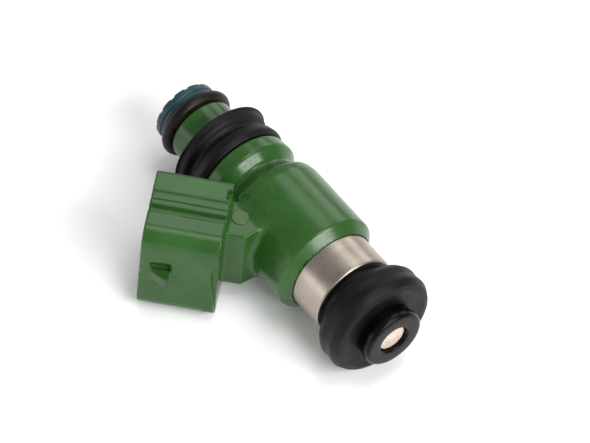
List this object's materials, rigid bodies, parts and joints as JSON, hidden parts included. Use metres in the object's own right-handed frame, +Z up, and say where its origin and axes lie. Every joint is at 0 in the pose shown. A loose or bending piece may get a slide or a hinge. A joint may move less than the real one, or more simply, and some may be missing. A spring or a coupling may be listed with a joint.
{
  "type": "fuel injector",
  "caption": "Top-feed fuel injector: moulded body with an angled plug socket, rubber seals at each end, a steel sleeve and a sprung solenoid valve.",
  "frame": {"origin": "centre of the orifice plate's outer face, where the fuel leaves, on the injector axis", "axes": "+Y along the injector axis from the nozzle to the fuel inlet; the plug socket leans towards -X and +Y; X-Y is the plane of symmetry, and +Z is up as the part lies on a table"},
  "size_m": [0.033, 0.0531, 0.0178],
  "materials": {
    "green_plastic": "satin glass-filled nylon",
    "teal_plastic": "satin",
    "black_rubber": "matt moulded rubber",
    "o_ring_rubber": "oiled rubber",
    "gloss_black": "glossy moulded plastic",
    "steel": "turned stainless steel",
    "plate_metal": "matt stamped disc",
    "tinned_brass": "tinned strip",
    "copper": "enamelled copper wire",
    "bobbin_plastic": "natural nylon",
    "filter_nylon": "woven nylon mesh"
  },
  "bodies": {
    "injector": {"housing": "green_plastic", "terminal_blade_a": "tinned_brass", "terminal_blade_b": "tinned_brass", "inlet_tube": "steel", "adjusting_tube": "steel", "filter_mesh": "filter_nylon", "filter_cap": "teal_plastic", "inlet_o_ring": "o_ring_rubber", "upper_grommet": "black_rubber", "solenoid_shell": "steel", "coil_bobbin": "bobbin_plastic", "coil_winding": "copper", "yoke_washer": "steel", "nonmagnetic_ring": "steel", "valve_body": "steel", "valve_seat": "steel", "return_spring": "steel", "orifice_plate": "plate_metal", "tip_cap": "gloss_black", "lower_seal": "black_rubber"},
    "valve": {"valve_ball": "steel", "needle": "steel", "armature": "steel"}
  },
  "joints": [
    {"name": "valve_lift", "type": "slide", "parent": "injector", "child": "valve", "axis": [0, 1, 0], "range_m": [0, 0.00008], "stiffness_N_per_m": 1500, "springref_m": -0.0015, "deforming": ["return_spring"]}
  ]
}
